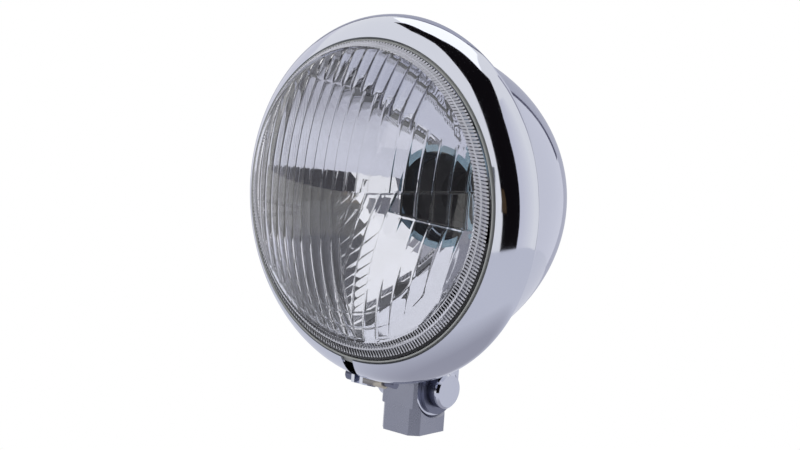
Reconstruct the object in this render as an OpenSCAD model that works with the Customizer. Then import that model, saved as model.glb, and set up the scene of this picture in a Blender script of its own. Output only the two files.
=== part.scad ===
// Round bottom-mount motorcycle headlight, in millimetres.
// Origin: centre of the mounting foot's lower face, at the mouth of its thread.
// +Z is up, the lens looks along -Y, and X = 0 is the middle plane.

/* [Placing] */
// Height of the bucket's widest underside above the foot
bucket_clear = 34.3; // [32:0.1:45]
// Distance that the bezel's opening lies in front of the foot's centre
reach = 43; // [36:0.5:50]

/* [Bezel] */
// Radius of the opening that the lens fills
lip_r = 71; // [68:0.5:73]
// Radial width of the bezel, from its opening to its largest radius
bezel_rise = 10.3; // [9.5:0.1:14]
// Depth from the opening back to the largest radius
bezel_d = 15.9; // [14:0.1:20]
// Sheet thickness of the bezel
bezel_t = 1.2; // [0.8:0.1:1.5]
// How full the bezel's curve is
bezel_bulge = 2.25; // [1.8:0.05:2.8]
// Radius of the rolled rear edge
bead_r = 2; // [1.6:0.1:2.5]
// Width of the split at the bezel's rear
split_w = 3.2; // [2:0.2:5]
// How much wider the split is at the opening
split_flare = 5.4; // [0:0.2:8]
// Sideways place of the split's middle
split_x = -8.4; // [-12:0.2:0]
// Thickness of the clamp ears beside the split
ear_t = 1.8; // [1.2:0.2:4]

/* [Clamp screw] */
// Radius of the clamp screw's shank
clamp_r = 1.9; // [1.5:0.1:2.2]
// Radius of the clamp screw's long head and of its round nut
clamp_nut_r = 3; // [2.6:0.1:3.1]
// Length of the clamp nut
clamp_nut_l = 6.2; // [4:0.1:8]
// Length of thread left beyond the nut
clamp_tail = 6.2; // [3:0.1:10]
// Length of the clamp screw's head
screw_head_h = 9; // [4:0.5:10]

/* [Lens] */
// Distance from the opening in to where the dome meets the toothed flank
dome_in = 5.7; // [4.5:0.1:8]
// Distance that the dome's edge lies in front of the opening
dome_edge = 7; // [5:0.5:9]
// Rise of the dome from its edge to its middle
dome_rise = 17; // [13:0.5:20]
// Thickness of the glass
glass_t = 3.6; // [3:0.1:4.5]
// Width from one flute to the next
flute_pitch = 6.4; // [5:0.1:8]
// Width of one flute
flute_w = 5.6; // [4:0.1:6]
// Depth of one flute
flute_depth = 0.8; // [0.4:0.1:1.2]
// Number of flutes on each side of the middle one
flute_count = 9; // [3:1:9]

/* [Reflector] */
// Depth of the bulb hole's edge behind the opening
seat_depth = 48; // [44:0.5:52]
// Radius of the bulb hole
bulb_hole_r = 20.5; // [19:0.1:22]
// Thickness of the reflector
mirror_t = 1.2; // [0.8:0.1:1.6]
// Length of the neck behind the bulb hole
neck_l = 7; // [5:0.5:9]
// Radius of the parking lamp's hole
pilot_hole_r = 4.8; // [4:0.1:6]
// Distance from the lens axis down to the parking lamp
pilot_drop = 42.5; // [38:0.5:46]
// Sideways place of the parking lamp
pilot_x = -4; // [-8:0.5:8]

/* [Bucket] */
// How far the widest place of the bucket lies outside the bezel's opening
bucket_out = 2; // [0:0.1:3]
// Distance from the opening back to the widest place
bucket_front = 10; // [6:0.5:12]
// Length from the widest place to the bucket's tail
bucket_l = 94; // [88:0.5:110]
// Sheet thickness of the bucket
bucket_t = 1.2; // [0.8:0.1:2]
// Radius of the cable hole's grommet bore
cable_r = 4; // [3:0.25:5]
// Angle of the cable hole round the bucket's curve, from its widest place
cable_turn = 56; // [50:1:65]

/* [Yoke] */
// Thickness of one lug
lug_t = 2.2; // [1.8:0.1:5]
// Radius of a lug's round end
lug_r = 8.3; // [7.5:0.1:10]
// Thickness of the saddle under the bucket
saddle_t = 4; // [3:0.5:6]
// Distance that the yoke reaches in front of the tilt axis
yoke_fore = 8; // [7:0.5:10]
// Distance that the yoke reaches behind the tilt axis
yoke_aft = 14; // [12:0.5:17]

/* [Pivot] */
// Height of the tilt axis above the foot
pivot_z = 20.5; // [19.5:0.1:24]
// Distance of the tilt axis behind the foot's centre
pivot_y = 3; // [0:0.5:5]
// Radius of the pivot bolt's shank
bolt_r = 4; // [3:0.25:4.5]
// Radial clearance of the bolt in the block
bolt_gap = 0.05; // [0.02:0.01:0.1]
// Radius of the flat bolt head
bolt_head_r = 8.3; // [6:0.1:8.5]
// Height of the flat bolt head
bolt_head_h = 2; // [1.5:0.1:3]
// Radius of the round cap nut
nut_r = 8.6; // [7.5:0.1:9.5]
// Length of the round cap nut
nut_l = 5.2; // [4:0.1:9]
// Radius of the flat washers beside the block
washer_r = 11.6; // [10:0.1:12]
// Thickness of a flat washer
washer_t = 1.55; // [1:0.05:2.5]
// Radius of the spring washers
spring_r = 7.6; // [6.5:0.1:8]
// Thickness of a spring washer
spring_t = 1.2; // [0.8:0.1:1.6]

/* [Mounting block] */
// Width of the block across the lugs
block_w = 22.3; // [20:0.1:25]
// Depth of the block from front to back
block_l = 24.5; // [22:0.1:28]
// Height of the block
block_h = 31; // [28:0.5:32]
// Chamfer of the foot's corners
foot_chamfer = 3.8; // [2:0.1:5]
// Height of the chamfered foot
foot_h = 12.5; // [10:0.5:15]
// Radius of the round seats milled in the sides
seat_r = 16.7; // [16.2:0.1:17.5]
// Height of the round seats' middle above the tilt axis
seat_rise = 3.1; // [2.6:0.1:3.4]
// Depth of the round seats
seat_cut = 0.9; // [0.5:0.1:2]
// Radius of the mounting thread
thread_r = 5; // [4:0.25:6]
// Depth of the mounting thread
thread_l = 13; // [9:0.5:14]

/* [Hidden] */
$fn = 96;
eps = 0.01;
seat_gap = 0.1;

// Bezel
curve_steps = 9;
bezel_r = lip_r + bezel_rise;
bucket_r = lip_r + bucket_out;
axis_h = bucket_r + bucket_clear;
bezel_rear = bezel_d + bead_r;
hook_r = bezel_r - 5.8;
clamp_gap = 0.35;
clamp_drop = 1.3;
clamp_z = -bezel_r - clamp_drop;
clamp_reach = bead_r + clamp_nut_r + clamp_gap;
clamp_y = bezel_d + sqrt(clamp_reach * clamp_reach - (bead_r + clamp_drop) * (bead_r + clamp_drop));
clamp_ear_r = 3.4;
split_left = split_x - split_w / 2;
split_right = split_x + split_w / 2;

// Lens
dome_r = lip_r - dome_in;
dome_y = -dome_edge - dome_rise;
dome_sphere = (dome_r * dome_r + dome_rise * dome_rise) / (2 * dome_rise);
dome_centre = dome_y + dome_sphere;
glass_sphere = dome_sphere - glass_t;
glass_in_r = dome_r - glass_t + 0.4;
flute_tube = flute_w * flute_w / (8 * flute_depth) + flute_depth / 2;
flank_r = lip_r - 1.7;
shoulder_r = lip_r + 2;
shoulder_y = 4.3;
lens_back = 7.4;
gasket_t = 0.6;

// Reflector
flat_r = bulb_hole_r + 3;
mirror_r = lip_r - 6;
focal4 = (mirror_r * mirror_r - flat_r * flat_r) / (seat_depth - lens_back);
mirror_vertex = seat_depth + flat_r * flat_r / focal4;
flange_r = lip_r + 3.5;
neck_end = seat_depth + neck_l;
seat_t = 1.2;
pilot_y = mirror_vertex - pilot_drop * pilot_drop / focal4;
pilot_tilt = atan(2 * pilot_drop / focal4);

// Bucket
rim_y = bezel_rear - bezel_t - seat_gap - bucket_t;
rim_r = bezel_r - bezel_t - 1.1;
seal_h = 3;
seal_r = lip_r + 5.2;
cable_seat_r = cable_r + 2.5;
cable_lip_r = cable_r + 4.5;

// Yoke and pivot, in the lamp's frame
pivot_dy = pivot_y + reach;
pivot_dz = pivot_z - axis_h;
block_half = block_w / 2;
tongue_half = block_half - seat_cut;
washer_in = tongue_half + seat_gap;
washer_out = washer_in + washer_t;
lug_in = washer_out + spring_t;
lug_out = lug_in + lug_t;
nut_floor = 1.2;
yoke_y0 = pivot_dy - yoke_fore;
yoke_y1 = pivot_dy + yoke_aft;
yoke_bolt_r = 3;
saddle_z = -bucket_r - saddle_t + 5;
yoke_bolt_x = 7.5;
plate_t = 2;
plate_half = 12;

function polar(r, a) = [r * cos(a), r * sin(a)];
// Outer curve of the bezel: t runs from the opening, 0, to the largest radius, 1
function bezel_at(t) = [lip_r + bezel_rise * (1 - pow(1 - t, bezel_bulge)), bezel_d * t];
function bezel_slope(t) = [bezel_rise * bezel_bulge * pow(1 - t, bezel_bulge - 1), bezel_d];
function inward(t) = [-bezel_slope(t)[1], bezel_slope(t)[0]] / norm(bezel_slope(t));
function bezel_in(t) = bezel_at(t) + inward(t) * bezel_t;
// Quarter ellipse of the bucket, with the wall taken off by inset
function bucket_at(a, inset) = [(bucket_r - inset) * cos(a), bucket_front + (bucket_l - inset) * sin(a)];
function mirror_at(r, shift) = [r, mirror_vertex - r * r / focal4 + shift];

// The lamp's own frame: its origin is the middle of the bezel's opening
module lamp() { translate([0, -reach, axis_h]) children(); }
// Turns a profile of [radius, depth] about the lens axis
module lathe() { rotate([-90, 0, 0]) rotate_extrude($fn = 180) children(); }
// A cylinder along X from x0 to x1, at the given depth and height
module x_rod(r, x0, x1, y = 0, z = 0, fn = $fn) {
    translate([x0, y, z]) rotate([0, 90, 0]) cylinder(r = r, h = x1 - x0, $fn = fn);
}
module x_cone(r0, r1, x0, x1, y = 0, z = 0) {
    translate([x0, y, z]) rotate([0, 90, 0]) cylinder(r1 = r0, r2 = r1, h = x1 - x0);
}

// Bezel, its split and its clamp
module bezel_skin() {
    outer = [for (i = [0 : curve_steps]) bezel_at(i / curve_steps)];
    bead = [for (a = [15 : 15 : 90]) [bezel_r - bead_r, bezel_d] + polar(bead_r, a)];
    hook = [[hook_r, bezel_rear], [hook_r, bezel_rear - bezel_t]];
    bead_in = [for (a = [90 : -30 : 0]) [bezel_r - bead_r, bezel_d] + polar(bead_r - bezel_t, a)];
    inner = [for (i = [curve_steps - 1 : -1 : 0]) bezel_in(i / curve_steps)];
    lathe() polygon(concat(outer, bead, hook, bead_in, inner));
}
module bezel_core() {
    inner = [for (i = [0 : curve_steps]) bezel_in(i / curve_steps) - [0.2, 0]];
    lathe() polygon(concat([[0, inner[0][1]]], inner, [[bezel_r - bezel_t - 0.2, clamp_y + clamp_ear_r + 1], [0, clamp_y + clamp_ear_r + 1]]));
}
module clamp_ear(x0) {
    front = bezel_d - 4.5;
    difference() {
        union() {
            x_rod(clamp_ear_r, x0, x0 + ear_t, clamp_y, clamp_z);
            translate([x0, 0, 0]) rotate([90, 0, 90]) linear_extrude(ear_t)
                polygon([[front, -bezel_r + 2], [front, clamp_z - 1.2], [clamp_y, clamp_z - clamp_ear_r],
                    [clamp_y + clamp_ear_r, clamp_z], [clamp_y + clamp_ear_r, -bezel_r + 2]]);
        }
        bezel_core();
        x_rod(clamp_r + seat_gap, x0 - 1, x0 + ear_t + 1, clamp_y, clamp_z);
    }
}
module split_cut() {
    rear = clamp_y + clamp_ear_r + 1;
    translate([0, 0, -bezel_r - clamp_ear_r]) linear_extrude(bezel_rise + clamp_ear_r + 5)
        polygon([[split_left + 1.4, -1], [split_left, bezel_d / 2], [split_left, rear], [split_right, rear],
            [split_right, bezel_d * 0.75], [split_right + split_flare, -1]]);
}
module bezel() {
    color("gainsboro") lamp() {
        difference() {
            bezel_skin();
            split_cut();
        }
        clamp_ear(split_left - ear_t);
        clamp_ear(split_right);
    }
}
module clamp_screw() {
    head_x = split_left - ear_t;
    color("dimgray") lamp() difference() {
        union() {
            x_rod(clamp_r, head_x - eps, split_right + ear_t + clamp_nut_l + clamp_tail, clamp_y, clamp_z);
            x_rod(clamp_nut_r, head_x - screw_head_h, head_x, clamp_y, clamp_z);
        }
        translate([head_x - screw_head_h - 1, clamp_y - 0.6, clamp_z - clamp_nut_r - 1])
            cube([2.4, 1.2, 2 * clamp_nut_r + 2]);
    }
}
module clamp_nut() {
    x0 = split_right + ear_t;
    color("darkkhaki") lamp() difference() {
        x_rod(clamp_nut_r, x0, x0 + clamp_nut_l, clamp_y, clamp_z);
        x_rod(clamp_r + 0.05, x0 - 1, x0 + clamp_nut_l + 1, clamp_y, clamp_z);
    }
}

// Lens, fluted on its inner face, and what holds it in the bezel
module lens_blank() {
    difference() {
        union() {
            intersection() {
                translate([0, dome_centre, 0]) sphere(r = dome_sphere, $fn = 180);
                rotate([90, 0, 0]) cylinder(r = dome_r, h = -dome_y + 1, $fn = 180);
            }
            lathe() polygon([[0, -dome_edge - eps], [dome_r, -dome_edge - eps], [flank_r - 1, -1.6],
                [flank_r, -0.4], [flank_r, shoulder_y], [shoulder_r, shoulder_y],
                [shoulder_r, lens_back], [0, lens_back]]);
        }
        intersection() {
            translate([0, dome_centre, 0]) sphere(r = glass_sphere, $fn = 180);
            rotate([90, 0, 0]) translate([0, 0, -1]) cylinder(r = glass_in_r, h = -dome_y + 1, $fn = 180);
        }
        lathe() polygon([[0, -1], [glass_in_r, -1], [glass_in_r, 2], [mirror_r, lens_back + 1],
            [0, lens_back + 1]]);
    }
}
module flute(x) {
    ring = sqrt(glass_sphere * glass_sphere - x * x) + flute_depth - flute_tube;
    translate([x, dome_centre, 0]) rotate([0, 90, 0])
        rotate_extrude($fn = 180) translate([ring, 0]) circle(r = flute_tube, $fn = 48);
}
module lens() {
    color("lightcyan") lamp() difference() {
        lens_blank();
        intersection() {
            for (i = [-flute_count : flute_count]) flute(i * flute_pitch);
            rotate([90, 0, 0]) translate([0, 0, 3]) cylinder(r = glass_in_r - 0.6, h = -dome_y, $fn = 180);
        }
    }
}
module lens_gasket() {
    inner = flank_r + 0.05;
    color("wheat") lamp() lathe() polygon([[inner, -0.7], [inner + gasket_t, -0.7],
        [inner + gasket_t, 1], [shoulder_r - 0.1, 3.1], [shoulder_r - 0.1, shoulder_y], [inner, shoulder_y]]);
}
module unit_clips() {
    y0 = lens_back + mirror_t;
    wire = 1.2;
    color("silver") lamp() for (a = [54 : 72 : 342]) rotate([0, a, 0])
        translate([0, 0, -4]) linear_extrude(8) polygon([[flange_r - 3, y0], [flange_r - 1, y0],
            [flange_r + 0.6, y0 + wire], [bezel_r - bezel_t - 2.1, y0 + 0.2],
            [bezel_r - bezel_t - 1.9, y0 + wire + 0.2], [flange_r + 0.6, y0 + 2 * wire],
            [flange_r - 1.5, y0 + wire], [flange_r - 3, y0 + wire]]);
}

// Reflector, bulb seat and the rubber parts behind it
module pilot_frame() {
    translate([pilot_x, pilot_y, -pilot_drop]) rotate([-90 - pilot_tilt, 0, 0]) children();
}
module reflector() {
    steps = 12;
    radii = [for (i = [0 : steps]) flat_r + (mirror_r - flat_r) * i / steps];
    front = [for (r = radii) mirror_at(r, 0)];
    back = [for (i = [steps : -1 : 0]) mirror_at(radii[i], mirror_t * 1.3)];
    color("whitesmoke") lamp() difference() {
        lathe() polygon(concat([[bulb_hole_r, seat_depth]], front,
            [[flange_r, lens_back], [flange_r, lens_back + mirror_t], [mirror_r + 1, lens_back + mirror_t]],
            back, [[bulb_hole_r + mirror_t, seat_depth + mirror_t], [bulb_hole_r + mirror_t, neck_end],
            [bulb_hole_r, neck_end]]));
        pilot_frame() translate([0, 0, -2 * pilot_hole_r]) cylinder(r = pilot_hole_r, h = 4 * pilot_hole_r);
    }
}
module bulb_seat() {
    color("lightsteelblue") lamp() {
        translate([0, neck_end, 0]) rotate([-90, 0, 0]) difference() {
            union() {
                cylinder(r = bulb_hole_r + 3.5, h = seat_t);
                for (a = [30, 150, 270]) rotate(a) translate([bulb_hole_r + 2, 0, 0]) cylinder(r = 1.2, h = 2);
            }
            difference() {
                translate([0, 0, -1]) cylinder(r = bulb_hole_r - 1.3, h = 4);
                translate([-2.35, -bulb_hole_r, -2]) cube([4.7, 4.5, 6]);
            }
        }
    }
}
module bulb_clip() {
    wire = 0.7;
    y = neck_end + seat_t + wire + seat_gap;
    leg_x = 10;
    color("silver") lamp() translate([0, y, 0]) {
        for (s = [-1, 1]) translate([s * leg_x, 0, -10]) cylinder(r = wire, h = 27, $fn = 24);
        translate([0, 0, -10]) rotate([90, 0, 0]) rotate_extrude(angle = -180, $fn = 48)
            translate([leg_x, 0]) circle(r = wire, $fn = 24);
    }
}
module bulb_boot() {
    grip = bulb_hole_r + 3.6;
    y = neck_end;
    color("black") lamp() lathe() polygon([[grip, y - 3], [grip + 2.4, y - 3], [grip + 2.4, y + 4.5],
        [grip - 2, y + 8], [16, y + 12], [14, y + 20], [10.5, y + 20], [10.5, y + 17], [12.5, y + 11],
        [grip - 4, y + 6.4], [grip, y + 3.2]]);
}
module pilot_holder() {
    sleeve = pilot_hole_r - seat_gap;
    color("dimgray") lamp() pilot_frame() difference() {
        union() {
            translate([0, 0, -0.4]) cylinder(r = sleeve, h = 7);
            translate([0, 0, 2.6]) cylinder(r = sleeve + 2, h = 5);
            translate([0, 0, 7]) cylinder(r = sleeve + 0.5, h = 9);
        }
        translate([0, 0, -2]) cylinder(r = sleeve - 1.1, h = 12);
    }
}

// Bucket, its seal and its cable inlet
module bucket_solid(inset, a0 = 0) {
    steps = 20;
    lathe() polygon(concat([[0, bucket_at(a0, inset)[1]]],
        [for (i = [0 : steps]) bucket_at(a0 + (90 - a0) * i / steps, inset)]));
}
module cable_frame() {
    p = bucket_at(cable_turn, 0);
    lean = atan2(bucket_r * sin(cable_turn), bucket_l * cos(cable_turn));
    translate([0, p[1], -p[0]]) rotate([180 - (-lean), 0, 0]) children();
}
module bucket() {
    steps = 20;
    a0 = asin((rim_y + bucket_t - bucket_front) / bucket_l);
    outer = [for (i = [0 : steps]) bucket_at(a0 + (90 - a0) * i / steps, 0)];
    inner = [for (i = [steps : -1 : 0]) bucket_at(a0 + (90 - a0) * i / steps, bucket_t)];
    color("silver") lamp() difference() {
        lathe() polygon(concat([[rim_r, rim_y], [rim_r, rim_y + bucket_t]], outer, inner,
            [[bucket_r - bucket_t, rim_y]]));
        cable_frame() translate([0, 0, -8]) cylinder(r = cable_seat_r, h = 20);
        yoke_bolt_axes() translate([0, 0, -10]) cylinder(r = yoke_bolt_r + seat_gap, h = 20);
    }
}
module bucket_seal() {
    color("black") lamp() lathe() polygon([[seal_r - 1.3, rim_y - seal_h], [seal_r + 1, rim_y - seal_h],
        [seal_r + 1.6, rim_y - 0.6], [seal_r + 1.6, rim_y], [seal_r - 1.3, rim_y]]);
}
module cable_grommet() {
    wall = bucket_t + 0.7;
    color("black") lamp() cable_frame() difference() {
        union() {
            translate([0, 0, -wall - 2]) cylinder(r = cable_lip_r, h = 2);
            translate([0, 0, -wall - 1]) cylinder(r = cable_seat_r - seat_gap, h = wall + 2);
            translate([0, 0, 0.35]) cylinder(r1 = cable_lip_r, r2 = cable_lip_r - 1.5, h = 3);
        }
        translate([0, 0, -10]) cylinder(r = cable_r, h = 20);
    }
}

// Yoke on the bucket
module yoke_bolt_axes() {
    y = (yoke_y0 + yoke_y1) / 2;
    a = asin((y - bucket_front) / bucket_l);
    lean = atan2(bucket_r * sin(a), bucket_l * cos(a));
    p = bucket_at(a, 0);
    turn = asin(yoke_bolt_x / p[0]);
    for (s = [-1, 1])
        rotate([0, s * turn, 0]) translate([0, p[1], -p[0]]) rotate([180 + lean, 0, 0]) children();
}
module lug(x0) {
    neck_y = pivot_dy + 2.5;
    top = bucket_r * 0.19 - bucket_r;
    difference() {
        union() {
            x_rod(lug_r, x0, x0 + lug_t, pivot_dy, pivot_dz);
            translate([x0, 0, 0]) rotate([90, 0, 90]) linear_extrude(lug_t)
                polygon([[pivot_dy - lug_r * cos(47), pivot_dz + lug_r * sin(47)], [neck_y, pivot_dz + 9.6],
                    [neck_y, saddle_z - 1], [yoke_y0, saddle_z + 5], [yoke_y0, top],
                    [yoke_y1, top], [yoke_y1, saddle_z + 4],
                    [pivot_dy + lug_r, saddle_z - 2], [pivot_dy + lug_r, pivot_dz],
                    [pivot_dy, pivot_dz]]);
        }
        bucket_solid(-0.05);
        x_rod(bolt_r + seat_gap, x0 - 1, x0 + lug_t + 1, pivot_dy, pivot_dz);
    }
}
module mounting_yoke() {
    color("silver") lamp() difference() {
        union() {
            lug(lug_in);
            lug(-lug_out);
            difference() {
                intersection() {
                    bucket_solid(-saddle_t);
                    translate([-lug_out, yoke_y0, -bucket_r - 10])
                        cube([2 * lug_out, yoke_y1 - yoke_y0, bucket_r]);
                }
                bucket_solid(-0.05);
            }
        }
        yoke_bolt_axes() translate([0, 0, -5]) cylinder(r = yoke_bolt_r + 0.05, h = 30);
    }
}
module yoke_plate() {
    color("gray") lamp() difference() {
        intersection() {
            bucket_solid(bucket_t + 0.05);
            translate([-plate_half, yoke_y0, -bucket_r - 10]) cube([2 * plate_half, yoke_y1 - yoke_y0, bucket_r]);
        }
        bucket_solid(bucket_t + plate_t);
        yoke_bolt_axes() translate([0, 0, -10]) cylinder(r = yoke_bolt_r + seat_gap, h = 20);
    }
}
module yoke_bolts() {
    top = -bucket_t - plate_t - 0.35;
    color("dimgray") lamp() yoke_bolt_axes() {
        translate([0, 0, top]) cylinder(r = yoke_bolt_r, h = saddle_t - 0.6 - top);
        translate([0, 0, top - 4]) cylinder(r = 5.77, h = 4, $fn = 6);
    }
}

// Mounting block, pivot bolt and washers
module block_outline(chamfer) {
    x = block_half;
    y = block_l / 2;
    polygon([[x, y - chamfer], [x - chamfer, y], [chamfer - x, y], [-x, y - chamfer],
        [-x, chamfer - y], [chamfer - x, -y], [x - chamfer, -y], [x, chamfer - y]]);
}
module mount_block() {
    corner = 2.2;
    bevel = 1.2;
    color("darkgray") difference() {
        union() {
            linear_extrude(foot_h) block_outline(foot_chamfer);
            translate([0, 0, foot_h - eps]) linear_extrude(block_h - foot_h + eps) block_outline(corner);
        }
        for (s = [-1, 1]) translate([0, pivot_y, pivot_z + seat_rise]) scale([s, 1, 1]) {
            x_rod(seat_r - bevel, tongue_half, block_half + 1);
            x_cone(seat_r - bevel, seat_r, tongue_half, block_half + eps);
        }
        x_rod(bolt_r + bolt_gap, -block_w, block_w, pivot_y, pivot_z);
        translate([0, 0, -1]) cylinder(r = thread_r, h = thread_l + 1);
    }
}
module pivot_bolt() {
    bevel = 1;
    x1 = lug_out + bolt_head_h;
    color("gainsboro") translate([0, pivot_y, pivot_z]) {
        x_rod(bolt_r, -lug_out - nut_l + nut_floor + 0.3, lug_out + eps);
        x_rod(bolt_head_r, lug_out, x1 - bevel);
        x_cone(bolt_head_r, bolt_head_r - bevel, x1 - bevel, x1);
    }
}
module pivot_nut() {
    bevel = 1.4;
    x0 = -lug_out - nut_l;
    color("gainsboro") translate([0, pivot_y, pivot_z]) difference() {
        union() {
            x_rod(nut_r, x0 + bevel, -lug_out);
            x_cone(nut_r - bevel, nut_r, x0, x0 + bevel + eps);
        }
        x_rod(bolt_r + 0.05, x0 + nut_floor, -lug_out + 1);
        translate([x0 - 1, -0.75, -nut_r - 1]) cube([1.9, 1.5, 2 * nut_r + 2]);
    }
}
module spring_washers() {
    color("dimgray") for (s = [-1, 1]) translate([0, pivot_y, pivot_z]) scale([s, 1, 1]) difference() {
        x_rod(spring_r, washer_out, lug_in);
        x_rod(bolt_r + 0.2, washer_out - 1, lug_in + 1);
        translate([washer_out - 1, -0.4, 0]) cube([spring_t + 2, 0.8, spring_r + 1]);
    }
}
module pivot_washers() {
    color("slategray") for (s = [-1, 1]) translate([0, pivot_y, pivot_z]) scale([s, 1, 1]) difference() {
        x_rod(washer_r, washer_in, washer_out);
        x_rod(bolt_r + 0.2, washer_in - 1, washer_out + 1);
    }
}

bezel();
clamp_screw();
clamp_nut();
lens();
lens_gasket();
unit_clips();
reflector();
bulb_seat();
bulb_clip();
bulb_boot();
pilot_holder();
bucket();
bucket_seal();
cable_grommet();
mounting_yoke();
yoke_plate();
yoke_bolts();
mount_block();
pivot_bolt();
pivot_nut();
spring_washers();
pivot_washers();
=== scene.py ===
import math

import bmesh
import bpy
import numpy as np
from mathutils import Matrix, Vector


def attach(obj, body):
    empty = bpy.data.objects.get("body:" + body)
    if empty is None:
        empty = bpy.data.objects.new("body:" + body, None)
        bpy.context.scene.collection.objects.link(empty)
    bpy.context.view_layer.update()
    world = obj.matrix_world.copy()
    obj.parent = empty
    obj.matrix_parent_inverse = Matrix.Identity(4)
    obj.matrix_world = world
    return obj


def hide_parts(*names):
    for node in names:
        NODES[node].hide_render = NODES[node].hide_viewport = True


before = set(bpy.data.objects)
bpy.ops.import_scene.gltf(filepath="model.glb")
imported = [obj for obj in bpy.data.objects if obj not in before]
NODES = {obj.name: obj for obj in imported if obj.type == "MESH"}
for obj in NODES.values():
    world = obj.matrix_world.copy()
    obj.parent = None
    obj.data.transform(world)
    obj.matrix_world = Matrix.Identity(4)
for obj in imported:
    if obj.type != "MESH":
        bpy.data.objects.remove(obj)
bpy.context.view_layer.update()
scene = bpy.context.scene

# All sizes are in mm unless a comment says otherwise
MM = 0.001
# The bezel's opening lies this far in front of the origin, and the lens axis this high
LIP_Y = -43.0
AXIS_Z = 107.3

# Materials. Noise scales are per metre
NOISE_DETAIL = 3.0
# The noise of the roughness and of the bumps is finer than that of the colour
ROUGH_FINER = 2.3
BUMP_FINER = 8
BUMP_STRENGTH = 0.3
GLASS_IOR = 1.5
GLASS_NOISE = 40.0
GLASS_SHADOW = (0.93, 0.93, 0.95)
CLEAR = (0.99, 0.99, 1.0)
# Painted shade for the dark left sides of the lens's broad grooves
GROOVE_SHADE_COLOUR = (0.06, 0.06, 0.08)
# Half the width of the edge between clear glass and its painted shade
SHADE_BLUR = 0.12


def new_material(name):
    mat = bpy.data.materials.new(name)
    mat.use_nodes = True
    nt = mat.node_tree
    nt.nodes.clear()
    out = nt.nodes.new("ShaderNodeOutputMaterial")
    return mat, nt, out


def noise(nt, scale):
    coord = nt.nodes.new("ShaderNodeTexCoord")
    tex = nt.nodes.new("ShaderNodeTexNoise")
    tex.inputs["Scale"].default_value = scale
    tex.inputs["Detail"].default_value = NOISE_DETAIL
    nt.links.new(coord.outputs["Object"], tex.inputs["Vector"])
    return tex.outputs["Fac"]


def ramp(nt, value, low, high, lo_in=0.3, hi_in=0.7):
    """Goes from low to high as the value goes from lo_in to hi_in."""
    m = nt.nodes.new("ShaderNodeMapRange")
    m.inputs["From Min"].default_value = lo_in
    m.inputs["From Max"].default_value = hi_in
    m.inputs["To Min"].default_value = low
    m.inputs["To Max"].default_value = high
    nt.links.new(value, m.inputs["Value"])
    return m.outputs["Result"]


def mix_colour(nt, fac, a, b):
    m = nt.nodes.new("ShaderNodeMix")
    m.data_type = "RGBA"
    m.inputs["A"].default_value = (*a, 1)
    m.inputs["B"].default_value = (*b, 1)
    nt.links.new(fac, m.inputs["Factor"])
    return m.outputs["Result"]


def painted(nt, attribute):
    """The value that an attribute gives each point of the mesh."""
    place = nt.nodes.new("ShaderNodeAttribute")
    place.attribute_name = attribute
    return place.outputs["Fac"]


def bump(nt, value, height):
    b = nt.nodes.new("ShaderNodeBump")
    b.inputs["Strength"].default_value = BUMP_STRENGTH
    b.inputs["Distance"].default_value = height * MM
    nt.links.new(value, b.inputs["Height"])
    return b.outputs["Normal"]


def surface(name, colour, other, rough, scale, metallic=0.0, bump_height=0.0):
    """Colour and roughness each vary a little, between two values, over the piece."""
    mat, nt, out = new_material(name)
    shader = nt.nodes.new("ShaderNodeBsdfPrincipled")
    nt.links.new(mix_colour(nt, noise(nt, scale), colour, other), shader.inputs["Base Color"])
    nt.links.new(ramp(nt, noise(nt, scale * ROUGH_FINER), *rough), shader.inputs["Roughness"])
    shader.inputs["Metallic"].default_value = metallic
    if bump_height:
        nt.links.new(bump(nt, noise(nt, scale * BUMP_FINER), bump_height), shader.inputs["Normal"])
    nt.links.new(shader.outputs[0], out.inputs["Surface"])
    return mat


def metal(name, colour, other, rough, scale):
    return surface(name, colour, other, rough, scale, metallic=1.0)


def glass(name, colour, rough=(0.0, 0.02), clear=1.0):
    mat, nt, out = new_material(name)
    shader = nt.nodes.new("ShaderNodeBsdfPrincipled")
    shader.inputs["Base Color"].default_value = (*colour, 1)
    shader.inputs["Transmission Weight"].default_value = clear
    shader.inputs["IOR"].default_value = GLASS_IOR
    nt.links.new(ramp(nt, noise(nt, GLASS_NOISE), *rough), shader.inputs["Roughness"])
    # Shadow rays pass through, so that the reflector is lit through the glass
    open_path = nt.nodes.new("ShaderNodeBsdfTransparent")
    open_path.inputs["Color"].default_value = (*GLASS_SHADOW, 1)
    path = nt.nodes.new("ShaderNodeLightPath")
    mix = nt.nodes.new("ShaderNodeMixShader")
    nt.links.new(path.outputs["Is Shadow Ray"], mix.inputs[0])
    nt.links.new(shader.outputs[0], mix.inputs[1])
    nt.links.new(open_path.outputs[0], mix.inputs[2])
    nt.links.new(mix.outputs[0], out.inputs["Surface"])
    return mat


def ribbed_glass_with_shade():
    """Clear glass with painted shade: dark where the grooves' shade attribute is above zero."""
    mat = glass("ribbed_glass_with_shade", CLEAR)
    nt = mat.node_tree
    fac = ramp(nt, painted(nt, "groove_shade"), 0.0, 1.0, -SHADE_BLUR, SHADE_BLUR)
    nt.links.new(mix_colour(nt, fac, CLEAR, GROOVE_SHADE_COLOUR), nt.nodes["Principled BSDF"].inputs["Base Color"])
    return mat


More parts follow.
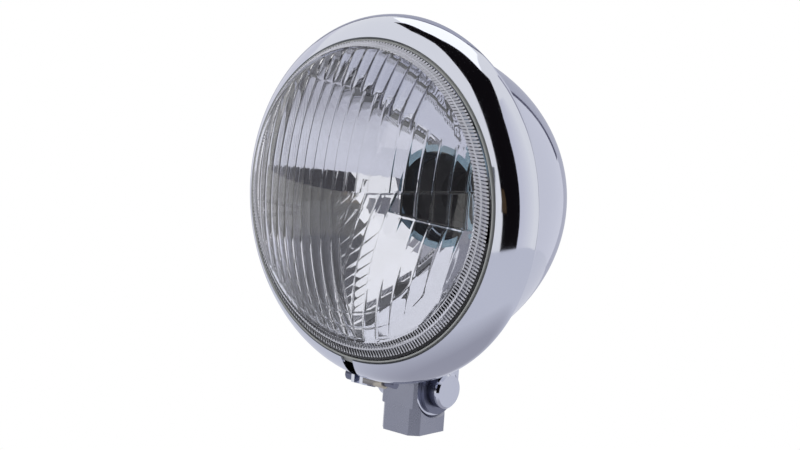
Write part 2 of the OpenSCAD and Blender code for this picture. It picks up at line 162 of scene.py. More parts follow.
CHROME = metal("bright_chrome", (0.60, 0.62, 0.70), (0.64, 0.66, 0.74), (0.04, 0.08), 25)
SATIN = metal("satin_chrome", (0.28, 0.29, 0.35), (0.32, 0.33, 0.39), (0.22, 0.30), 60)
MIRROR = metal("mirror_coat", (0.78, 0.79, 0.84), (0.82, 0.83, 0.88), (0.015, 0.035), 30)
STEEL = metal("spring_steel", (0.40, 0.48, 0.58), (0.46, 0.54, 0.64), (0.2, 0.3), 90)
# Dark steel for the screw, bolts, plate and washers; on the yoke's lug edges the same colour is painted shade
DARK = metal("dark_steel", (0.16, 0.17, 0.23), (0.20, 0.21, 0.28), (0.25, 0.4), 90)
YELLOW = metal("yellow_steel", (0.50, 0.46, 0.38), (0.58, 0.54, 0.46), (0.3, 0.45), 120)
CREAM = surface("cream_rubber", (0.30, 0.31, 0.29), (0.36, 0.37, 0.35), (0.4, 0.6), 200)
BLACK = surface("black_rubber", (0.012, 0.012, 0.014), (0.02, 0.02, 0.023), (0.5, 0.7), 200,
                bump_height=0.02)
PLASTIC = surface("black_plastic", (0.02, 0.02, 0.022), (0.03, 0.03, 0.033), (0.35, 0.5), 150)
GLASS = glass("lens_glass", CLEAR)
FROSTED = glass("lens_teeth", (0.80, 0.81, 0.86), (0.05, 0.12), clear=0.35)
# The reflector's neck is coloured teal, lighter in places
NECK = metal("neck_teal", (0.10, 0.16, 0.21), (0.26, 0.36, 0.44), (0.05, 0.12), 60)
RIBBED = ribbed_glass_with_shade()
# The bulb seat is near black: painted shade of the empty, dark bulb hole
SEAT = metal("bulb_seat_shade", (0.020, 0.024, 0.028), (0.035, 0.040, 0.046), (0.3, 0.4), 90)

# Meshes
FULL_TURN = 2 * math.pi
AROUND = 256
SHARP_DEG = 40.0
SAME_POINT_M = 1e-7


def lip(x, y, z):
    """The lamp's frame, which starts in the middle of the bezel's opening, to the row frame in metres."""
    return (x * MM, (y + LIP_Y) * MM, (z + AXIS_Z) * MM)


def unlip(co):
    """The row frame in metres to the lamp's frame."""
    return co.x / MM, co.y / MM - LIP_Y, co.z / MM - AXIS_Z


def polar(degrees, radius, other_radius=None):
    """A step from the middle of a circle, or of an ellipse with a second radius."""
    a = math.radians(degrees)
    return radius * math.cos(a), (other_radius or radius) * math.sin(a)


def arc(centre, radius, degrees):
    """The points of a circle at a list of angles."""
    steps = [polar(d, radius) for d in degrees]
    return [(centre[0] + u, centre[1] + v) for u, v in steps]


def link(name, data):
    obj = bpy.data.objects.new(name, data)
    scene.collection.objects.link(obj)
    return obj


def mesh_object(name, verts, faces, mat, sharp=SHARP_DEG):
    """A smooth mesh, apart from the edges whose faces meet at more than an angle in degrees."""
    me = bpy.data.meshes.new(name)
    me.from_pydata(verts, [], faces)
    me.validate()
    bm = bmesh.new()
    bm.from_mesh(me)
    bmesh.ops.remove_doubles(bm, verts=bm.verts, dist=SAME_POINT_M)
    bmesh.ops.recalc_face_normals(bm, faces=bm.faces)
    limit = math.radians(sharp)
    for e in bm.edges:
        e.smooth = not (len(e.link_faces) == 2 and e.calc_face_angle(0) > limit)
    for f in bm.faces:
        f.smooth = True
    bm.to_mesh(me)
    bm.free()
    me.materials.append(mat)
    return link(name, me)


def lathe(name, profile, mat, count=AROUND, span=None, sharp=SHARP_DEG):
    """Turns a closed outline of (radius, depth) points about the lens axis. For an open ring, span gives each
    point its start and end angle."""
    m = len(profile)
    columns = count if span is None else count + 1
    verts, faces = [], []
    for k in range(columns):
        for i, (r, y) in enumerate(profile):
            start, end = (0.0, FULL_TURN) if span is None else span[i]
            a = start + (end - start) * k / count
            verts.append(lip(r * math.sin(a), y, -r * math.cos(a)))
    for k in range(count):
        k2 = (k + 1) % columns
        for i in range(m):
            i2 = (i + 1) % m
            faces.append([k * m + i, k2 * m + i, k2 * m + i2, k * m + i2])
    if span is not None:
        faces.append(list(range(m))[::-1])
        faces.append([count * m + i for i in range(m)])
    return mesh_object(name, verts, faces, mat, sharp)


def disc_faces(rings, n):
    """The faces of a disc: a middle point, with rings of n points round it."""
    faces = [[0, 1 + k, 1 + (k + 1) % n] for k in range(n)]
    for j in range(rings - 1):
        near, far = 1 + j * n, 1 + (j + 1) * n
        for k in range(n):
            k2 = (k + 1) % n
            faces.append([near + k, far + k, far + k2, near + k2])
    return faces


def on_lamp(obj, node):
    """The piece stands for a node of the CAD, which it hides, and rides on the lamp."""
    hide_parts(node)
    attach(obj, "lamp")


def second_finish(mesh, mat, chosen):
    """Gives another finish to the faces that a test chooses."""
    mesh.materials.append(mat)
    for face in mesh.polygons:
        if chosen(face):
            face.material_index = 1


# Bezel: a sheet that flares from the opening to a rolled edge, split at the bottom
OPENING_R = 71.0
FLARE = 10.3
FLARE_POWER = 2.25
BEZEL_DEEP = 15.9
BEZEL_STEPS = 40
BEZEL_AROUND = 300
# The thickness of sheet metal, of the bucket and the reflector's brim too
SHEET = 1.2
# The rolled edge, and the radius that its hook reaches in to
BEAD_R = 2.0
HOOK_R = 75.5
# The split's edges in X: at the front, and from a share of the bezel's depth on to its rear
SPLIT_FRONT_Y = -1.0
SPLIT_LEFT = (-8.6, -10.0, 0.5)
SPLIT_RIGHT = (-1.4, -6.8, 0.75)


def bezel_at(t):
    return OPENING_R + FLARE * (1 - (1 - t) ** FLARE_POWER), BEZEL_DEEP * t


def bezel_inside(t):
    """The inner face: a sheet's thickness away from the outer one."""
    r, y = bezel_at(t)
    dr = FLARE * FLARE_POWER * max(1 - t, 1e-6) ** (FLARE_POWER - 1)
    n = math.hypot(dr, BEZEL_DEEP)
    return r - SHEET * BEZEL_DEEP / n, y + SHEET * dr / n


def split_edge(y, front, rear, share):
    return float(np.interp(y, [SPLIT_FRONT_Y, share * BEZEL_DEEP], [front, rear]))


def bezel():
    bead = (OPENING_R + FLARE - BEAD_R, BEZEL_DEEP)
    profile = [bezel_at(i / BEZEL_STEPS) for i in range(BEZEL_STEPS + 1)]
    profile += arc(bead, BEAD_R, range(6, 91, 6))
    profile += [(HOOK_R, BEZEL_DEEP + BEAD_R), (HOOK_R, BEZEL_DEEP + BEAD_R - SHEET)]
    profile += arc(bead, BEAD_R - SHEET, range(90, -1, -15))
    profile += [bezel_inside(i / BEZEL_STEPS) for i in range(BEZEL_STEPS - 1, -1, -1)]
    span = []
    for r, y in profile:
        right = math.asin(split_edge(y, *SPLIT_RIGHT) / r)
        left = math.asin(split_edge(y, *SPLIT_LEFT) / r)
        span.append((right, FULL_TURN + left))
    ring = lathe("bezel", profile, CHROME, count=BEZEL_AROUND, span=span)
    on_lamp(ring, "bezel")


# Clamp ears, one on each side of the split: they hang under the rolled edge, and the clamp screw passes
# through their round ends
EAR_T = 1.8
EAR_FRONT = 11.4
EAR_TOP = -80.2
EAR_CHIN = -83.8
EYE_R = 3.4
EYE = (20.11, -82.6)


def clamp_ear(name, x0):
    outline = [(EAR_FRONT, EAR_TOP), (EAR_FRONT, EAR_CHIN)]
    outline += arc(EYE, EYE_R, range(250, 361, 10))
    outline.append((EYE[0] + EYE_R, EAR_TOP))
    n = len(outline)
    verts = [lip(x, y, z) for x in (x0, x0 + EAR_T) for y, z in outline]
    faces = [list(range(n)), list(range(n, 2 * n))]
    faces += [[i, (i + 1) % n, n + (i + 1) % n, n + i] for i in range(n)]
    on_lamp(mesh_object(name, verts, faces, CHROME), "bezel")


# Bucket: half an ellipsoid with a flange at its front
BUCKET_R = 73.0
BUCKET_DEEP = 94.0
BUCKET_MIDDLE_Y = 10.0
BUCKET_FRONT_Y = 16.5
FLANGE_R = 79.0
BUCKET_STEPS = 90
BUCKET_STEPS_INSIDE = 60


def bucket_at(degrees, inset=0.0):
    r, y = polar(degrees, BUCKET_R - inset, BUCKET_DEEP - inset)
    return r, BUCKET_MIDDLE_Y + y


def bucket():
    start = math.degrees(math.asin((BUCKET_FRONT_Y - BUCKET_MIDDLE_Y) / BUCKET_DEEP))
    sweep = 90 - start
    profile = [(BUCKET_R - SHEET, BUCKET_FRONT_Y - SHEET), (FLANGE_R, BUCKET_FRONT_Y - SHEET),
               (FLANGE_R, BUCKET_FRONT_Y)]
    profile += [bucket_at(start + sweep * i / BUCKET_STEPS) for i in range(BUCKET_STEPS + 1)]
    inside = range(BUCKET_STEPS_INSIDE, -1, -1)
    profile += [bucket_at(start + sweep * i / BUCKET_STEPS_INSIDE, SHEET) for i in inside]
    on_lamp(lathe("bucket", profile, CHROME), "bucket")


bezel()
clamp_ear("clamp_ear_left", SPLIT_LEFT[1] - EAR_T)
clamp_ear("clamp_ear_right", SPLIT_RIGHT[1])
bucket()

# Lens: a domed face, a flank with teeth, and ribs inside
RISE = 18.0
DOME_R = 64.0
DOME_Y = -5.5
DOME_RINGS = 34
SPHERE_R = (DOME_R ** 2 + RISE ** 2) / (2 * RISE)
CENTRE_Y = DOME_Y - RISE + SPHERE_R
GLASS_T = 3.6
INNER_R = SPHERE_R - GLASS_T
# The ribbed face ends at this radius
RIM_R = 62.3
# The dome sits a little above the lens axis
LIFT = 3.0
# The flank, from the dome out to the seat. Each tooth takes two columns
FLANK_R = 68.6
FLANK_Y = -1.5
FLANK_LIFT = 0.9
COLUMNS = 536
TOOTH_DEEP = 0.7
# The rings of the flank, as shares of its width, and those that are round: its ends and its middle
FLANK_RINGS = [0.04, 0.10, 0.30, 0.42, 0.46, 0.50, 0.54, 0.58, 0.74, 0.90, 0.96]
ROUND_RINGS = (0.04, 0.50, 0.96)
FROSTED_BAND = (0.44, 0.56)
# A face of the flank lies no further inside its cone than this
FLANK_MARGIN = 1.6


def dome_y(r, sphere_r):
    return CENTRE_Y - math.sqrt(sphere_r ** 2 - r * r)


# Radius, depth and lift of the rings from the flank round the seat to the ribbed face
SEAT_RINGS = [
    (FLANK_R, FLANK_Y, FLANK_LIFT), (69.3, -0.3, 0), (69.3, 4.3, 0), (73.0, 4.3, 0), (73.0, 7.4, 0),
    (66.4, 7.4, 0), (66.2, 0.0, 0.3), (64.6, -2.6, 1.5), (RIM_R, dome_y(RIM_R, INNER_R), LIFT),
]


def flank_at(t):
    """Radius, depth and lift of the flank, at a share of its width."""
    r = DOME_R + (FLANK_R - DOME_R) * t
    return r, DOME_Y * (1 - t) + FLANK_Y * t, LIFT * (1 - t) + FLANK_LIFT * t


def flank_ring(t):
    """A ring of the flank, with every other column cut in where the teeth are."""
    r, y, lift = flank_at(t)
    cut = 0.0 if t in ROUND_RINGS else TOOTH_DEEP
    return [(r - (cut if k % 2 else 0.0), y, lift) for k in range(COLUMNS)]


def outer_lens():
    """The domed face, the flank and the seat, as rings of points round the pole of the dome."""
    rings = []
    for i in range(1, DOME_RINGS + 1):
        r = DOME_R * i / DOME_RINGS
        rings.append([(r, dome_y(r, SPHERE_R), LIFT)] * COLUMNS)
    rings += [flank_ring(t) for t in FLANK_RINGS]
    rings += [[ring] * COLUMNS for ring in SEAT_RINGS]
    verts = [lip(0, dome_y(0, SPHERE_R), LIFT)]
    for ring in rings:
        for k, (r, y, lift) in enumerate(ring):
            a = FULL_TURN * k / COLUMNS
            verts.append(lip(r * math.sin(a), y, -r * math.cos(a) + lift))
    lens = mesh_object("lens", verts, disc_faces(len(rings), COLUMNS), GLASS, sharp=25)
    on_lamp(lens, "lens")
    second_finish(lens.data, FROSTED, is_frosted)


def is_frosted(face):
    """Every other column of the flank is frosted, and a band in its middle all the way round."""
    x, y, z = unlip(face.center)
    t = (y - DOME_Y) / (FLANK_Y - DOME_Y)
    if not 0 < t < 1:
        return False
    r, _, lift = flank_at(t)
    if math.hypot(x, z - lift) < r - FLANK_MARGIN:
        return False
    column = int(math.atan2(x, lift - z) % FULL_TURN / FULL_TURN * COLUMNS)
    return column % 2 == 1 or FROSTED_BAND[0] < t < FROSTED_BAND[1]


# The pattern inside the glass. X and Z are measured from the middle of the lens
PITCH = 6.15
GRID = PITCH / 15
# Grid points up to this many squares outside the rim are drawn in to it
GRID_REACH = 0.75
LINE_DEEP = 0.25
LINE_HALF = 0.42
# The pattern fades out between these distances from the rim
FADE_FROM = 1.6
FADE_TO = 0.3


def smooth(v, lo, hi):
    """Goes from 0 to 1 as v goes from lo to hi, gently at both ends."""
    t = min(max((v - lo) / (hi - lo), 0.0), 1.0)
    return t * t * (3 - 2 * t)


def line(distance, depth=LINE_DEEP, half=LINE_HALF):
    """A fine groove in the glass, at a distance from its middle."""
    return -depth * max(0.0, 1 - abs(distance) / half)


def rib(u, height, cut):
    """One rib of a row: a low cylinder between two fine grooves. u counts ribs."""
    f = u - math.floor(u)
    return height * (1 - (2 * f - 1) ** 2) + line(min(f, 1 - f) * PITCH, cut)


def slanted(height, slope, at=0.0):
    """A line across the glass: its height at one X, and its slope."""
    return lambda x: height + slope * (x - at)


# The lines between the rows: the upper one, where it bends down at the right, the middle one and a second one
UPPER = slanted(48.3, -0.075)
UPPER_RIGHT = slanted(47.2, -0.45, 14)
MIDDLE = slanted(5.9, 0.12, 9)
SECOND = slanted(-0.4, -0.13, 32.8)
# The second line is deeper and wider than the others
BROAD_DEEP = 0.325
BROAD_HALF = 0.6
# The cross lines: from one X to another, the height, and the depth and half width of the groove
CROSS_LINES = [
    (-34, 36, UPPER, LINE_DEEP, LINE_HALF),
    (8, 99, MIDDLE, LINE_DEEP, LINE_HALF),
    (28, 99, SECOND, BROAD_DEEP, BROAD_HALF),
    (-99, -20, slanted(-6.5, 0.05, -64), LINE_DEEP, LINE_HALF),
    (-52, -20, slanted(-12.7, 0.2, -51), LINE_DEEP, LINE_HALF),
    (-7, 11, slanted(27.5, -0.1, -7), LINE_DEEP, LINE_HALF),
]
# The upper row: its ribs spread upward, and one of its grooves is at an X of about 4
FAN_X = 4.4
FAN_SCALE = 1.04
FAN_SPREADS = 0.12
FAN_Z = 48
FAN_TALL = 35
FAN_RIB = 0.10
# The upright row: its ribs' heights from left to right, and its grooves
UPRIGHT_X = -0.3
SHIFTED_X = 2.9
STRONG_RIB, MIDDLE_RIB, FAINT_RIB = 0.12, 0.06, 0.03
UPRIGHT_CUT = 0.26
# Under the step its ribs grow downward, between two depths below the middle
STEP_Z = -4.2
LOW_RIB = 0.16
LOW_GROWS = 0.34
LOW_FROM, LOW_TO = 12, 22
LOW_CUT = 0.12
# The short row at the right, and the slanted row under it
SIDE_X, SIDE_PITCH, SIDE_RIB, SIDE_CUT = 39.6, 6.5, 0.03, 0.28
SLANT_X, SLANT_PITCH, SLANT_RIB, SLANT_CUT = 11.5, 6.4, 0.05, 0.24
SLANT = 0.34
SLANT_Z = -10
# The arcs along the lower edge
ARC_RADII = (47.0, 53.5, 60.0)
ARCS_BELOW = -26
# Where the areas of the pattern meet, in X
STRONG_LEFT_OF = -14
SLANT_RIGHT_OF = 4
STEP_LEFT_OF = 6
UPPER_RIGHT_OF = 14
FAINT_RIGHT_OF = 15
SHIFT_RIGHT_OF = 22
SIDE_RIGHT_OF = 31


def fan(x, z):
    """The place along the upper row, counted in ribs."""
    return (x * (FAN_SCALE - FAN_SPREADS * (z - FAN_Z) / FAN_TALL) - FAN_X) / PITCH


def upright(x, z):
    """The ribs of the upright row: strong at the left, and high at the bottom."""
    u = (x - (UPRIGHT_X if x < SHIFT_RIGHT_OF else SHIFTED_X)) / PITCH
    if z > (STEP_Z if x < STEP_LEFT_OF else MIDDLE(x)):
        right = MIDDLE_RIB if x < FAINT_RIGHT_OF else FAINT_RIB
        return rib(u, STRONG_RIB if x < STRONG_LEFT_OF else right, UPRIGHT_CUT)
    height = LOW_RIB + LOW_GROWS * smooth(-z, LOW_FROM, LOW_TO)
    return rib(u, height, LOW_CUT if x > STRONG_LEFT_OF else UPRIGHT_CUT)


def ribs(x, z):
    """Height of the ribs: fanned at the top, upright in the middle, slanted at the lower right."""
    if z > (UPPER(x) if x < UPPER_RIGHT_OF else UPPER_RIGHT(x)):
        return rib(fan(x, z), FAN_RIB, 0.0)
    if z > MIDDLE(x) or x < SLANT_RIGHT_OF:
        return upright(x, z)
    if x > SIDE_RIGHT_OF and z > SECOND(x):
        return rib((x - SIDE_X) / SIDE_PITCH, SIDE_RIB, SIDE_CUT)
    return rib((x - SLANT * (z - SLANT_Z) - SLANT_X) / SLANT_PITCH, SLANT_RIB, SLANT_CUT)


# The broad grooves of the upper row: where each ends, and how it widens downward to a round end
GROOVES_ABOVE = 30
GROOVES_LEFT, GROOVES_RIGHT = -34, 38
GROOVE_END = 54.5
GROOVE_ENDS = {
    -6: 52.5, -5: 51.3, -4: 49.8, -3: 49.5, -2: 48.8, -1: 47.6,
    0: 47.1, 1: 46.4, 2: 41.5, 3: 38.7, 4: 36.0, 5: 34.0,
}
GROOVE_HALF = 0.5
GROOVE_WIDENS = 0.95
GROOVE_SLOPE = 0.2
# A groove widens between these heights above its end
THIN_FROM = 30
WIDE_FROM = 2
ROUND_END = 3.5
# The painted shade on each groove's left side: its width, how much it widens downward, and its most as a
# share of the groove's half width
SHADE_WIDTH = 0.6
SHADE_WIDENS = 0.8
SHADE_MOST = 1.5
# The right edge and the end of the painted shade are softer than its left edge
SOFT_RIGHT = 0.35
SOFT_END = 0.5


def widening(rise):
    return 1 - smooth(rise, WIDE_FROM, THIN_FROM)


def groove(x, z):
    """The nearest groove of the upper row: how far across it, its half width, how far above its end."""
    u = fan(x, z)
    k = round(u)
    rise = z - GROOVE_ENDS.get(k, GROOVE_END)
    half = GROOVE_HALF + GROOVE_WIDENS * widening(rise)
    # The end is round
    half *= math.sqrt(min(1.0, max(rise, 0.0) / ROUND_END))
    return (u - k) * PITCH, half, rise


def hollow(x, z):
    """Height of the glass in the broad grooves, which is below zero."""
    across, half, rise = groove(x, z)
    if abs(across) >= half:
        return 0.0
    return -GROOVE_SLOPE * half * (1 - (across / half) ** 2)


def groove_shade(x, z):
    """How far inside the painted shade on the left side of a groove a place lies. It is below zero outside.
    """
    if z < GROOVES_ABOVE or not GROOVES_LEFT < x < GROOVES_RIGHT:
        return -1.0
    across, half, rise = groove(x, z)
    width = min(SHADE_WIDTH + SHADE_WIDENS * widening(rise), SHADE_MOST * half)
    return max(-1.0, min(across + half, SOFT_RIGHT * (width - half - across), SOFT_END * rise))


def pattern(x, z):
    """Height of the glass's inner face, with its ribs, grooves, cross lines and arcs."""
    h = ribs(x, z)
    if z > GROOVES_ABOVE:
        h += hollow(x, z)
    for left, right, height, depth, half in CROSS_LINES:
        if left < x < right:
            h += line(z - height(x), depth, half)
    if z < ARCS_BELOW:
        h += sum(line(math.hypot(x, z) - radius) for radius in ARC_RADII)
    return h


def inner_lens():
    """The ribbed face, a grid of squares. Its outermost points lie on the ring that ends the seat."""
    n = int(RIM_R / GRID) + 1
    verts, faces, index = [], [], {}
    for i in range(-n, n + 1):
        for j in range(-n, n + 1):
            x, z = i * GRID, j * GRID
            r = math.hypot(x, z)
            if r > RIM_R + GRID_REACH * GRID:
                continue
            if r > RIM_R:
                x, z = x * RIM_R / r, z * RIM_R / r
            h = pattern(x, z + LIFT) * (1 - smooth(r, RIM_R - FADE_FROM, RIM_R - FADE_TO))
            index[i, j] = len(verts)
            verts.append(lip(x, CENTRE_Y - math.sqrt(INNER_R ** 2 - x * x - z * z) + h, z + LIFT))
    for i, j in index:
        corners = [index.get(c) for c in ((i, j), (i + 1, j), (i + 1, j + 1), (i, j + 1))]
        if None not in corners:
            faces.append(corners)
    lens = mesh_object("lens_ribs", verts, faces, RIBBED, sharp=60)
    me = lens.data
    places = [unlip(v.co) for v in me.vertices]
    # The painted shade of the grooves' left sides, which darkens the glass's colour
    shade_attribute = me.attributes.new("groove_shade", "FLOAT", "POINT")
    shade_attribute.data.foreach_set("value", [groove_shade(x, z) for x, y, z in places])
    # The ribs' normals face the reflector, so that the two faces enclose the glass
    if sum(p.normal.y for p in me.polygons) < 0:
        me.flip_normals()
    on_lamp(lens, "lens")


outer_lens()
inner_lens()

# Gasket
GASKET_OUTLINE = [(69.45, -0.7), (70.05, -0.7), (70.05, 1.05), (72.9, 3.2), (72.9, 4.2), (69.45, 4.2)]
on_lamp(lathe("lens_gasket", GASKET_OUTLINE, CREAM), "lens_gasket")

# Reflector: a paraboloid with a brim, a neck for the bulb and a hole for the parking lamp
MOUTH_R = 65.0
MOUTH_Y = 7.4
NECK_R = 23.5
NECK_Y = 48.0
NECK_END_Y = 55.0
BORE_R = 20.5
BRIM_R = 74.5
BRIM_BACK_R = 66.0
FRONT_STEPS = 60
BACK_STEPS = 30
# The thickness of the bowl, measured along the axis
BOWL_T = 1.56
FOCAL4 = (MOUTH_R ** 2 - NECK_R ** 2) / (NECK_Y - MOUTH_Y)
VERTEX_Y = NECK_Y + NECK_R ** 2 / FOCAL4
PILOT_X = -4
PILOT_DOWN = 42.5
PILOT_R = 4.8
PILOT_CUT = 12
PILOT_SEGMENTS = 64
NECK_MARGIN = 0.1


def bowl_y(r):
    return VERTEX_Y - r * r / FOCAL4


def pilot_punch():
    """A cylinder square to the bowl, where the parking lamp sits."""
    place = Vector(lip(PILOT_X, bowl_y(PILOT_DOWN), -PILOT_DOWN))
    tilt = math.atan(2 * PILOT_DOWN / FOCAL4)
    aim = Vector((0, math.cos(tilt), -math.sin(tilt)))
    turn = Vector((0, 0, 1)).rotation_difference(aim).to_matrix().to_4x4()
    bm = bmesh.new()
    bmesh.ops.create_cone(bm, cap_ends=True, segments=PILOT_SEGMENTS, radius1=PILOT_R * MM,
                          radius2=PILOT_R * MM, depth=PILOT_CUT * MM, matrix=Matrix.Translation(place) @ turn)
    me = bpy.data.meshes.new("punch")
    bm.to_mesh(me)
    bm.free()
    return link("punch", me)


def punch_out(obj, punch):
    cutter = obj.modifiers.new("hole", "BOOLEAN")
    cutter.operation = "DIFFERENCE"
    cutter.solver = "EXACT"
    cutter.object = punch
    bpy.context.view_layer.update()
    cut = obj.evaluated_get(bpy.context.evaluated_depsgraph_get())
    holed = bpy.data.meshes.new_from_object(cut)
    obj.modifiers.clear()
    obj.data = holed
    bpy.data.objects.remove(punch)


def is_neck(face):
    x, y, z = unlip(face.center)
    return math.hypot(x, z) < NECK_R - 2 * NECK_MARGIN and y > NECK_Y - NECK_MARGIN


def reflector():
    front = [(BORE_R, NECK_Y), (NECK_R, NECK_Y)]
    front += [(r, bowl_y(r)) for r in np.linspace(NECK_R + NECK_MARGIN, MOUTH_R, FRONT_STEPS)]
    rear = [(BRIM_R, MOUTH_Y), (BRIM_R, MOUTH_Y + SHEET), (BRIM_BACK_R, MOUTH_Y + SHEET)]
    rear += [(r, bowl_y(r) + BOWL_T) for r in np.linspace(MOUTH_R, NECK_R, BACK_STEPS)]
    rear += [(BORE_R + SHEET, NECK_Y + SHEET), (BORE_R + SHEET, NECK_END_Y), (BORE_R, NECK_END_Y)]
    bowl = lathe("reflector", front + rear, MIRROR, sharp=25)
    on_lamp(bowl, "reflector")
    punch_out(bowl, pilot_punch())
    second_finish(bowl.data, NECK, is_neck)


reflector()

# The pieces taken over from the CAD
KEEP = {
    "clamp_screw": DARK, "clamp_nut": YELLOW, "unit_clips": STEEL, "bulb_seat": SEAT, "bulb_clip": STEEL,
    "bulb_boot": BLACK, "pilot_holder": PLASTIC, "bucket_seal": BLACK, "cable_grommet": BLACK,
    "mounting_yoke": CHROME, "yoke_plate": DARK, "yoke_bolts": DARK, "mount_block": SATIN,
    "pivot_bolt": CHROME, "pivot_nut": CHROME, "spring_washers": DARK, "pivot_washers": DARK,
}
# The milled seats lie between these distances from the block's middle
SEAT_NEAR, SEAT_FAR = 9.8, 10.6
# The lugs' edges lie beyond this distance from the middle, and under this height
LUG_IN = 13
LUG_TOP = 34
# How much of a face's normal points sideways, for a face that looks sideways and for an edge
SIDEWAYS = 0.99
EDGEWISE = 0.3


def is_milled_seat(face):
    return abs(face.normal.x) > SIDEWAYS and SEAT_NEAR < abs(face.center.x) / MM < SEAT_FAR


# The faces that get painted shade: the narrow edges of the yoke's lugs
def is_shaded_lug_edge(face):
    on_lug = abs(face.center.x) / MM > LUG_IN and face.center.z / MM < LUG_TOP
    return on_lug and abs(face.normal.x) < EDGEWISE


for name, mat in KEEP.items():
    NODES[name].data.materials.clear()
    NODES[name].data.materials.append(mat)
# The milled seats in the block's sides are bright chrome, and the narrow edges of the yoke's lugs are
# coloured dark: painted shade
second_finish(NODES["mount_block"].data, CHROME, is_milled_seat)
second_finish(NODES["mounting_yoke"].data, DARK, is_shaded_lug_edge)

# Light. Places and sizes are in metres
WORLD_GREY = (0.62, 0.62, 0.66)
STUDIO_MIDDLE = Vector((0, -0.03, 0.1))
KEY_PLACE = Vector((-0.2, -0.9, 1.0))
KEY_SIZE = (0.9, 0.5)
KEY_WATTS = 6
KEY_COLOUR = (0.97, 0.97, 1.0)


def background(nt, colour):
    node = nt.nodes.new("ShaderNodeBackground")
    node.inputs["Color"].default_value = (*colour, 1)
    return node.outputs[0]


def largest(nt, a, b):
    node = nt.nodes.new("ShaderNodeMath")
    node.operation = "MAXIMUM"
    nt.links.new(a, node.inputs[0])
    nt.links.new(b, node.inputs[1])
    return node.outputs[0]


def studio_world():
    """White for the camera, in reflections and through the glass, and grey for the light that it gives."""
    world = bpy.data.worlds.new("studio")
    scene.world = world
    world.use_nodes = True
    nt = world.node_tree
    nt.nodes.clear()
    out = nt.nodes.new("ShaderNodeOutputWorld")
    path = nt.nodes.new("ShaderNodeLightPath")
    seen = largest(nt, path.outputs["Is Camera Ray"], path.outputs["Is Glossy Ray"])
    mix = nt.nodes.new("ShaderNodeMixShader")
    nt.links.new(largest(nt, seen, path.outputs["Is Transmission Ray"]), mix.inputs[0])
    nt.links.new(background(nt, WORLD_GREY), mix.inputs[1])
    nt.links.new(background(nt, (1, 1, 1)), mix.inputs[2])
    nt.links.new(mix.outputs[0], out.inputs["Surface"])


def key_light():
    light = bpy.data.lights.new("key", "AREA")
    light.shape = "RECTANGLE"
    light.size, light.size_y = KEY_SIZE
    light.energy = KEY_WATTS
    light.color = KEY_COLOUR
    obj = link("key", light)
    obj.location = KEY_PLACE
    obj.rotation_euler = (STUDIO_MIDDLE - KEY_PLACE).to_track_quat("-Z", "Y").to_euler()
    obj.visible_glossy = False
    obj.visible_transmission = False


studio_world()
key_light()

# The studio's boards and table, in metres: only reflections show them
BOARD_STEPS = 8


def stage_piece(name, verts, faces):
    me = bpy.data.meshes.new(name)
    me.from_pydata(verts, [], faces)
    obj = link(name, me)
    obj.visible_camera = False
    obj.visible_shadow = False
    obj.visible_diffuse = False
    return obj


def glowing(name):
    """A material that only gives light, and its colour input."""
    mat, nt, out = new_material(name)
    glow = nt.nodes.new("ShaderNodeEmission")
    nt.links.new(glow.outputs[0], out.inputs["Surface"])
    return mat, nt, glow.inputs["Color"]


def direction(azimuth, elevation):
    """A unit vector: azimuth 0 is -Y, the way the lens looks, and 90 is +X."""
    a, e = math.radians(azimuth), math.radians(elevation)
    return Vector((math.sin(a) * math.cos(e), -math.cos(a) * math.cos(e), math.sin(e)))


def card(name, strip, shade, far=None, radius=6.0):
    """A board of the studio. strip holds pairs of (azimuth, elevation) for its two edges. far is the shade at
    the second edge."""
    verts, across, faces = [], [], []
    for near_edge, far_edge in strip:
        u, v = direction(*near_edge), direction(*far_edge)
        for t in range(BOARD_STEPS + 1):
            verts.append(STUDIO_MIDDLE + radius * u.slerp(v, t / BOARD_STEPS))
            across.append(t / BOARD_STEPS)
    row = BOARD_STEPS + 1
    for i in range(len(strip) - 1):
        for t in range(BOARD_STEPS):
            a = i * row + t
            faces.append([a, a + 1, a + row + 1, a + row])
    board = stage_piece(name, verts, faces)
    board.data.attributes.new("across", "FLOAT", "POINT").data.foreach_set("value", across)
    mat, nt, colour = glowing(name)
    if far is None:
        colour.default_value = (*shade, 1)
    else:
        nt.links.new(mix_colour(nt, painted(nt, "across"), shade, far), colour)
    board.data.materials.append(mat)


# The dark gap between two sheets of the light tent, from the right of the camera up and over to the left
card("dark_gap", [
    ((41, -19), (71, -19)), ((40, -5), (71, -5)), ((37, 7), (70, 6)), ((34, 18), (68, 20)),
    ((30, 30), (66, 34)), ((24, 44), (68, 47)), ((17, 55), (79, 57)), ((-2, 64), (113, 69)),
    ((-20, 68), (100, 77)), ((-42, 69), (-123, 88)), ((-53, 67), (-79, 77)), ((-73, 61), (-87, 68)),
    ((-101, 51), (-103, 56)),
], (0.006, 0.005, 0.006))
card("brown_edge", [
    ((38, -2), (45, -2)), ((38, 3), (44, 3)), ((37, 8), (41, 8)),
], (0.07, 0.045, 0.025), radius=5.8)
# The light panel above and behind the object
card("panel", [
    ((-104, 54), (-122, 40)), ((-84, 66), (-130, 44)), ((-78, 76), (-139, 47)), ((-123, 88), (-152, 48)),
    ((180, 88), (-164, 48)), ((104, 78), (-175, 54)), ((104, 75), (125, 77)),
], (1.5, 1.5, 1.5), radius=6.1)
# The tent's back, with its dark seam round it
card("back", [
    ((-121, -20), (-166, -20)), ((-121, 10), (-166, 10)), ((-125, 26), (-166, 26)), ((-130, 37), (-165, 37)),
    ((-139, 44), (-164, 44)),
], (0.44, 0.45, 0.53), (0.50, 0.51, 0.60), radius=5.9)
card("seam", [
    ((-165, 3), (-168.5, 3)), ((-165, 12), (-168, 12)), ((-165, 26), (-168, 26)), ((-163, 38), (-167, 38)),
    ((-161, 45), (-163, 48)), ((-150, 45), (-150, 48)), ((-139, 43), (-139, 47)), ((-127, 34), (-129, 38)),
    ((-121, 25), (-125, 27)), ((-119, 12), (-122, 12)),
], (0.10, 0.10, 0.15), radius=5.7)
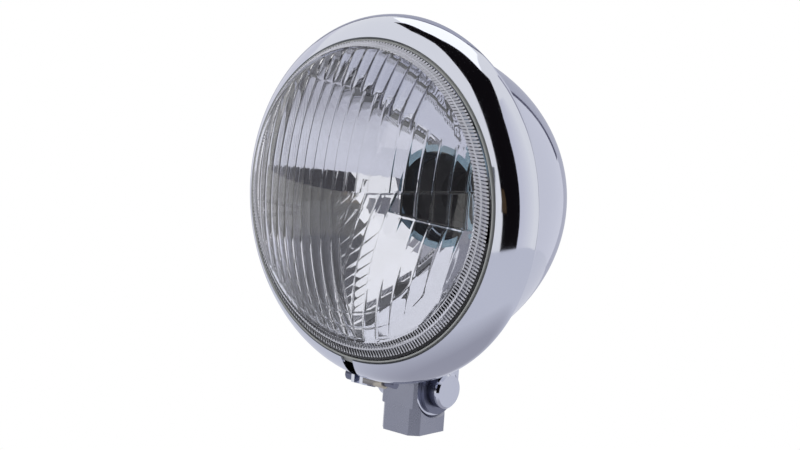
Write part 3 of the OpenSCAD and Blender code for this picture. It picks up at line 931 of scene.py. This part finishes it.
# The sheets to the right of the gap and behind, and to the left
card("right_sheet", [
    ((66, -20), (122, -20)), ((66, 8), (122, 8)), ((66, 34), (122, 34)), ((68, 47), (122, 46)),
    ((84, 58), (122, 56)),
], (0.74, 0.74, 0.83), (0.98, 0.98, 0.99), radius=6.2)
card("rear_sheet", [
    ((157, -20), (-166, -20)), ((157, 0), (-166, 0)), ((160, 20), (-167, 20)), ((176, 42), (-167, 38)),
], (0.80, 0.80, 0.86), (0.76, 0.77, 0.85), radius=6.3)
card("rear_seam", [
    ((145, -20), (149, -20)), ((144, -5), (148, -5)), ((142, 4), (147, 4)), ((147, 18), (153, 18)),
    ((153, 33), (158, 30)), ((171, 46), (176, 42)),
], (0.40, 0.40, 0.48), radius=6.0)
card("left_sheet", [
    ((-90, -20), (-121, -20)), ((-92, 10), (-121, 10)), ((-96, 22), (-122, 24)),
], (0.82, 0.82, 0.88), radius=6.3)
# The dark room round the camera
card("camera_side", [
    ((-12, -22), (16, -22)), ((-20, -9), (17, -9)), ((-22, 0), (18, 1)), ((-22, 3), (32, 3)),
    ((-20, 14), (31, 16)),
], (0.16, 0.16, 0.18), radius=6.4)
card("camera_left", [
    ((-86, -4), (-21, -4)), ((-86, 14), (-21, 14)), ((-80, 30), (-21, 30)), ((-70, 40), (-21, 40)),
], (0.50, 0.50, 0.54), (0.25, 0.25, 0.28), radius=6.5)

TABLE_Z = -0.12
TABLE_PLACE = (0.04, 0.03, 0.0)
TABLE_RINGS = [0.06, 0.12, 0.20, 0.30, 0.42, 0.56, 0.70]
TABLE_AROUND = 48
# The painted shadow of the object in the table's middle, and the pale table round it
TABLE_SHADOW = (0.44, 0.44, 0.50)
TABLE_PALE = (0.72, 0.73, 0.80)
# The distance from the table's middle over which the painted shadow turns pale
TABLE_FADE = (0.15, 0.24)


def table():
    """A pale table under the object, with a painted shadow where the object stands."""
    verts = [(0, 0, TABLE_Z)]
    for r in TABLE_RINGS:
        for k in range(TABLE_AROUND):
            a = FULL_TURN * k / TABLE_AROUND
            verts.append((r * math.sin(a), r * math.cos(a), TABLE_Z))
    top = stage_piece("table", verts, disc_faces(len(TABLE_RINGS), TABLE_AROUND))
    top.location = TABLE_PLACE
    mat, nt, colour = glowing("table")
    coord = nt.nodes.new("ShaderNodeTexCoord")
    length = nt.nodes.new("ShaderNodeVectorMath")
    length.operation = "LENGTH"
    nt.links.new(coord.outputs["Object"], length.inputs[0])
    fac = ramp(nt, length.outputs["Value"], 0.0, 1.0, *TABLE_FADE)
    nt.links.new(mix_colour(nt, fac, TABLE_SHADOW, TABLE_PALE), colour)
    top.data.materials.append(mat)


table()

# Camera, found from the ellipses of the lens and the bezel. Angles in degrees, lengths in mm
CAMERA_AZIMUTH = 40.46
CAMERA_ELEVATION = 7.82
CAMERA_ROLL = 4.14
CAMERA_FAR = 800
CAMERA_SHIFT = (14.55, -10.24)
FOCAL_PIXELS = 1845
PHOTO_WIDTH = 800
SENSOR = 36


def camera():
    az, el, roll = (math.radians(v) for v in (CAMERA_AZIMUTH, CAMERA_ELEVATION, CAMERA_ROLL))
    level = Vector((math.cos(az), math.sin(az), 0))
    forward = Vector((-math.sin(az) * math.cos(el), math.cos(az) * math.cos(el), -math.sin(el)))
    upward = level.cross(forward)
    right = math.cos(roll) * level + math.sin(roll) * upward
    up = math.cos(roll) * upward - math.sin(roll) * level
    eye = CAMERA_SHIFT[0] * right + CAMERA_SHIFT[1] * up - CAMERA_FAR * forward
    data = bpy.data.cameras.new("camera")
    data.sensor_width = SENSOR
    data.lens = FOCAL_PIXELS * SENSOR / PHOTO_WIDTH
    data.clip_start = 0.01
    cam = link("camera", data)
    turn = Matrix((right, up, -forward)).transposed()
    cam.matrix_world = Matrix.Translation(lip(*eye)) @ turn.to_4x4()
    scene.camera = cam


camera()
scene.view_settings.view_transform = "Standard"
